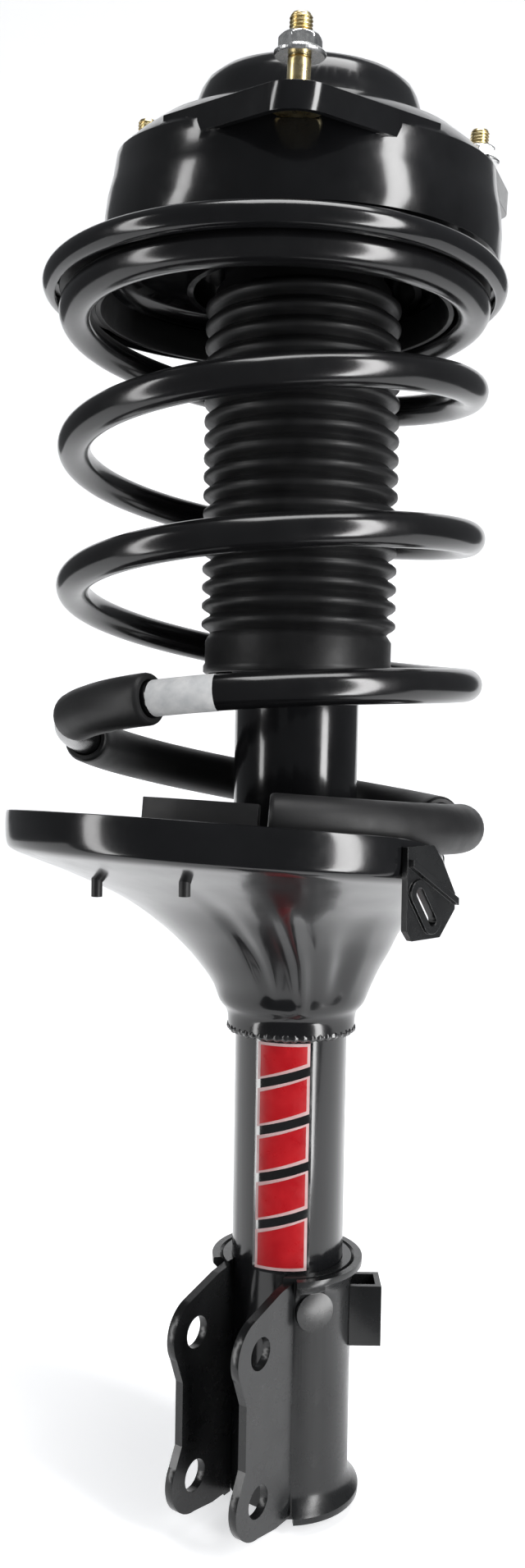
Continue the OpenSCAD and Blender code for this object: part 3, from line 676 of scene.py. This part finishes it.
def wrapped_patch(name, corners, radius, mat, thickness=0.05 * MM, across=24, down=10):
    """A thin slanted bar on the tube. corners are (degrees, height), round the outline."""
    (a0, z0), (a1, z1), (a2, z2), (a3, z3) = corners
    points = []
    for lift in (0, thickness):
        for j in range(down + 1):
            v = j / down
            for i in range(across + 1):
                u = i / across
                a = math.radians((a0 * (1 - u) + a1 * u) * (1 - v) + (a3 * (1 - u) + a2 * u) * v)
                z = (z0 * (1 - u) + z1 * u) * (1 - v) + (z3 * (1 - u) + z2 * u) * v
                r = radius + lift
                points.append((r * math.cos(a), r * math.sin(a), z))
    row, layer = across + 1, (across + 1) * (down + 1)
    faces = []
    for j in range(down):
        for i in range(across):
            k = j * row + i
            faces.append((k, k + row, k + row + 1, k + 1))
            faces.append((k + layer, k + layer + 1, k + layer + row + 1, k + layer + row))
    border = list(range(across)) + [j * row + across for j in range(down)]
    border += [down * row + i for i in range(across, 0, -1)] + [j * row for j in range(down, 0, -1)]
    for i, k in enumerate(border):
        n = border[(i + 1) % len(border)]
        faces.append((k, n, n + layer, k + layer))
    patch = add_object(name, points, faces, 50)
    paint(patch, mat)
    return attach(patch, "strut_body")


def drawn_in(corners, edge):
    """The corners of a bar on the tube, moved inwards by the width of its edge."""
    turn = math.degrees(edge / TUBE_R)
    (a0, z0), (a1, z1), (a2, z2), (a3, z3) = corners
    return ((a0 + turn, z0 + edge), (a1 - turn, z1 + edge), (a2 - turn, z2 - edge),
            (a3 + turn, z3 - edge))


def make_label():
    """A plain stripe label: slanted red bars with a pale border."""
    low, high = span("tube_label", 2)
    left, right = -93, -33
    inner = TUBE_R + 0.02 * MM
    film = wrapped_patch("label_film", ((left, low), (right, low), (right, high), (left, high)),
                         inner, LABEL_FILM, 0.05 * MM, across=24, down=4)
    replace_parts(film, "tube_label")
    bars = 5
    margin = 3
    pitch = (high - low) / bars
    slant = 6 * MM
    edge = 1.2 * MM
    for i in range(bars):
        base = low + i * pitch + edge
        top = base + pitch - 2 * edge - slant * 0.2
        # the bars at the two ends are level at the edge of the label
        rise = 0 if i == 0 else slant
        fall = 0 if i == bars - 1 else slant
        corners = ((left + margin, base), (right - margin, base + rise),
                   (right - margin, top + fall), (left + margin, top))
        wrapped_patch(f"label_border_{i + 1}", corners, inner + 0.06 * MM, LABEL_PALE)
        wrapped_patch(f"label_bar_{i + 1}", drawn_in(corners, edge), inner + 0.13 * MM, LABEL_RED)


# ---------- stage, light and camera ----------

def make_stage():
    """A pale floor that curves up into a wall far behind the object."""
    floor_z = CAD_BOX[0][2] - 1 * MM
    near_end, far_end, wall_top = -0.14, 1.2, 3.2
    bend_r = 0.8
    half_width = 1.15
    profile = [(near_end, 0.0), (far_end, 0.0)]
    profile += [(far_end + bend_r * math.sin(a), bend_r - bend_r * math.cos(a))
                for a in [math.radians(9 * k) for k in range(1, 11)]]
    profile += [(far_end + bend_r, wall_top)]
    points = []
    for x in (-half_width, half_width):
        points += [(x, y, floor_z + z) for y, z in profile]
    n = len(profile)
    faces = [(i, i + n, i + n + 1, i + 1) for i in range(n - 1)]
    sweep = add_object("studio_sweep", points, faces, 80)
    move_to(sweep, Matrix.Rotation(math.radians(34), 4, "Z"))
    mat = material("studio_white", (0.86, 0.865, 0.87), 0.9, second=(0.89, 0.89, 0.895), tone_scale=1.5,
                   grain_scale=40, grain_depth=0.0002, specular=0.1)
    shader = mat.node_tree.nodes["Principled BSDF"]
    shader.inputs["Emission Color"].default_value = (0.98, 0.985, 1, 1)
    shader.inputs["Emission Strength"].default_value = 0.55
    paint(sweep, mat)


def area_light(name, place, target, width, height, power):
    """A white rectangular light that faces its target."""
    data = bpy.data.lights.new(name, "AREA")
    data.shape = "RECTANGLE"
    data.size = width
    data.size_y = height
    data.energy = power
    obj = bpy.data.objects.new(name, data)
    obj.location = place
    obj.rotation_euler = (Vector(target) - Vector(place)).to_track_quat("-Z", "Y").to_euler()
    bpy.context.scene.collection.objects.link(obj)


def make_lights(eye):
    world = bpy.data.worlds.new("studio")
    world.use_nodes = True
    world.node_tree.nodes["Background"].inputs["Color"].default_value = (0.93, 0.96, 1, 1)
    world.node_tree.nodes["Background"].inputs["Strength"].default_value = 0.13
    bpy.context.scene.world = world
    centre = Vector((0, 0, -0.25))
    back = (Vector((eye[0], eye[1], 0))).normalized()
    side = UP.cross(back)

    def around(toward_eye, to_right, height):
        return centre + back * toward_eye + side * to_right + UP * height

    area_light("key_strip", around(0.8, 1.0, 0), centre, width=0.3, height=2.4, power=38)
    area_light("fill_strip", around(0.5, -1.2, 0), centre, width=0.2, height=2.0, power=12)
    area_light("top_box", around(0.25, 0.1, 1.15), centre + UP * 0.2, width=0.8, height=0.55, power=10)


def make_camera():
    """The eye stands 0.54 m from the damper axis, a little above the middle of the strut."""
    eye = Vector((0.3057, -0.4504, -0.2254))
    heading = math.radians(35.56)
    pitch = math.radians(-2.27)
    roll = math.radians(0.96)
    look = Vector((-math.sin(heading) * math.cos(pitch), math.cos(heading) * math.cos(pitch),
                   math.sin(pitch)))
    right = look.cross(UP).normalized()
    up = right.cross(look)
    right, up = (right * math.cos(roll) + up * math.sin(roll),
                 up * math.cos(roll) - right * math.sin(roll))
    data = bpy.data.cameras.new("camera")
    data.sensor_fit = "VERTICAL"
    data.sensor_height = 24
    data.angle = math.radians(60.1706)
    data.clip_start = 0.01
    camera = bpy.data.objects.new("camera", data)
    camera.matrix_world = Matrix((
        (right[0], up[0], -look[0], eye[0]), (right[1], up[1], -look[1], eye[1]),
        (right[2], up[2], -look[2], eye[2]), (0, 0, 0, 1)))
    bpy.context.scene.collection.objects.link(camera)
    bpy.context.scene.camera = camera
    return eye


paint_nodes()
make_spring()
make_sleeves()
make_painted_highlight()
make_boot()
make_lower_seat()
make_studs()
make_label()
weld_ring("neck_weld", 24.2 * MM, SEAT_Z - 75.3 * MM, 1.7 * MM, "strut_body")
make_lights(make_camera())
make_stage()
bpy.context.scene.view_settings.view_transform = "Standard"
